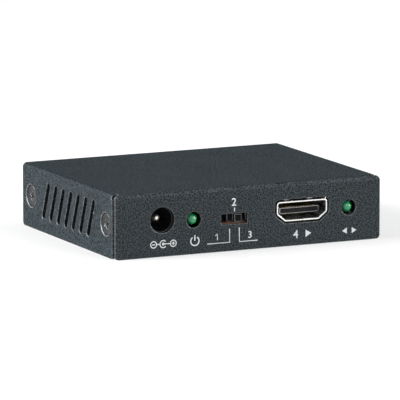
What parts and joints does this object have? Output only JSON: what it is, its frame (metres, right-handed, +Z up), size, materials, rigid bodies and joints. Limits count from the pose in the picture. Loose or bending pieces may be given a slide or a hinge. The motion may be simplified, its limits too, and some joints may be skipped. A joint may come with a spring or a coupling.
{
  "type": "audio video signal embedder box",
  "caption": "Small charcoal sheet-metal box that adds line or optical sound to a video signal, with a slide switch, shuttered optical port and vented sides.",
  "frame": {"origin": "middle of the underside, on the plane that the case rests on", "axes": "+X to the right across the front face, +Y from the front (output) face to the rear (input) face, +Z up"},
  "size_m": [0.077, 0.06, 0.017],
  "materials": {
    "top_cover": "fine-textured charcoal powder coat",
    "base_tray": "fine-textured charcoal powder coat",
    "cover_screws": "black oxide, glossy",
    "press_nuts": "zinc plated",
    "board_spacers": "zinc plated",
    "board_screws": "zinc plated",
    "circuit_board": "green solder mask",
    "dc_jack_housing": "moulded black",
    "dc_jack_pin": "bright nickel",
    "dc_jack_spring": "tinned",
    "power_light_lens": "clear green epoxy",
    "power_light_leads": "tinned",
    "power_light_holder": "moulded black",
    "link_light_lens": "clear green epoxy",
    "link_light_leads": "tinned",
    "link_light_holder": "moulded black",
    "switch_frame": "tin plated",
    "switch_base": "brown phenolic board",
    "switch_knob": "moulded black",
    "switch_contact": "sprung brass",
    "switch_terminals": "tinned",
    "video_out_shell": "bright nickel",
    "video_out_tongue": "moulded dark grey",
    "video_out_contacts": "gold flash",
    "video_in_shell": "bright nickel",
    "video_in_tongue": "moulded dark grey",
    "video_in_contacts": "gold flash",
    "line_jack_housing": "moulded black",
    "line_jack_ring": "bright nickel",
    "line_jack_contacts": "tinned brass",
    "optical_housing": "moulded dark grey",
    "optical_shutter": "moulded dark grey",
    "optical_hinge_pin": "ground",
    "optical_spring": "spring wire",
    "optical_receiver": "dark moulded resin",
    "optical_leads": "tinned",
    "embedder_chip": "moulded resin, tinned pins",
    "thermal_tape": "grey heat tape",
    "heat_sink": "clear anodised",
    "controller_chip": "moulded resin, tinned pins",
    "audio_chip": "moulded resin, tinned pins",
    "memory_chip": "moulded resin, tinned pins",
    "crystal_can": "drawn can",
    "regulators": "moulded resin, tinned feet",
    "power_inductors": "ferrite",
    "input_fuse": "moulded resin",
    "input_diode": "moulded resin, tinned feet",
    "electrolytic_capacitors": "drawn can on a black base",
    "ceramic_capacitors": "ceramic with tinned ends",
    "chip_resistors": "glazed black with tinned ends",
    "surge_arrays": "moulded resin"
  },
  "bodies": {
    "case": {"top_cover": "top_cover", "base_tray": "base_tray", "cover_screws": "cover_screws", "press_nuts": "press_nuts", "board_spacers": "board_spacers", "board_screws": "board_screws", "circuit_board": "circuit_board", "dc_jack_housing": "dc_jack_housing", "dc_jack_pin": "dc_jack_pin", "dc_jack_spring": "dc_jack_spring", "power_light_lens": "power_light_lens", "power_light_leads": "power_light_leads", "power_light_holder": "power_light_holder", "link_light_lens": "link_light_lens", "link_light_leads": "link_light_leads", "link_light_holder": "link_light_holder", "switch_frame": "switch_frame", "switch_base": "switch_base", "switch_terminals": "switch_terminals", "video_out_shell": "video_out_shell", "video_out_tongue": "video_out_tongue", "video_out_contacts": "video_out_contacts", "video_in_shell": "video_in_shell", "video_in_tongue": "video_in_tongue", "video_in_contacts": "video_in_contacts", "line_jack_housing": "line_jack_housing", "line_jack_ring": "line_jack_ring", "line_jack_contacts": "line_jack_contacts", "optical_housing": "optical_housing", "optical_hinge_pin": "optical_hinge_pin", "optical_receiver": "optical_receiver", "optical_leads": "optical_leads", "embedder_chip": "embedder_chip", "thermal_tape": "thermal_tape", "heat_sink": "heat_sink", "controller_chip": "controller_chip", "audio_chip": "audio_chip", "memory_chip": "memory_chip", "crystal_can": "crystal_can", "regulators": "regulators", "power_inductors": "power_inductors", "input_fuse": "input_fuse", "input_diode": "input_diode", "electrolytic_capacitors": "electrolytic_capacitors", "ceramic_capacitors": "ceramic_capacitors", "chip_resistors": "chip_resistors", "surge_arrays": "surge_arrays"},
    "switch_slider": {"switch_knob": "switch_knob", "switch_contact": "switch_contact"},
    "optical_flap": {"optical_shutter": "optical_shutter", "optical_spring": "optical_spring"}
  },
  "joints": [
    {"name": "switch_slide", "type": "slide", "parent": "case", "child": "switch_slider", "axis": [-1, 0, 0], "range_m": [0, 0.003]},
    {"name": "optical_shutter_hinge", "type": "hinge", "parent": "case", "child": "optical_flap", "pos_m": [-0.0242, 0.02814, 0.01387], "axis": [-1, 0, 0], "range_deg": [0, 80], "stiffness_Nm_per_rad": 0.0001, "springref_deg": -22.92}
  ]
}
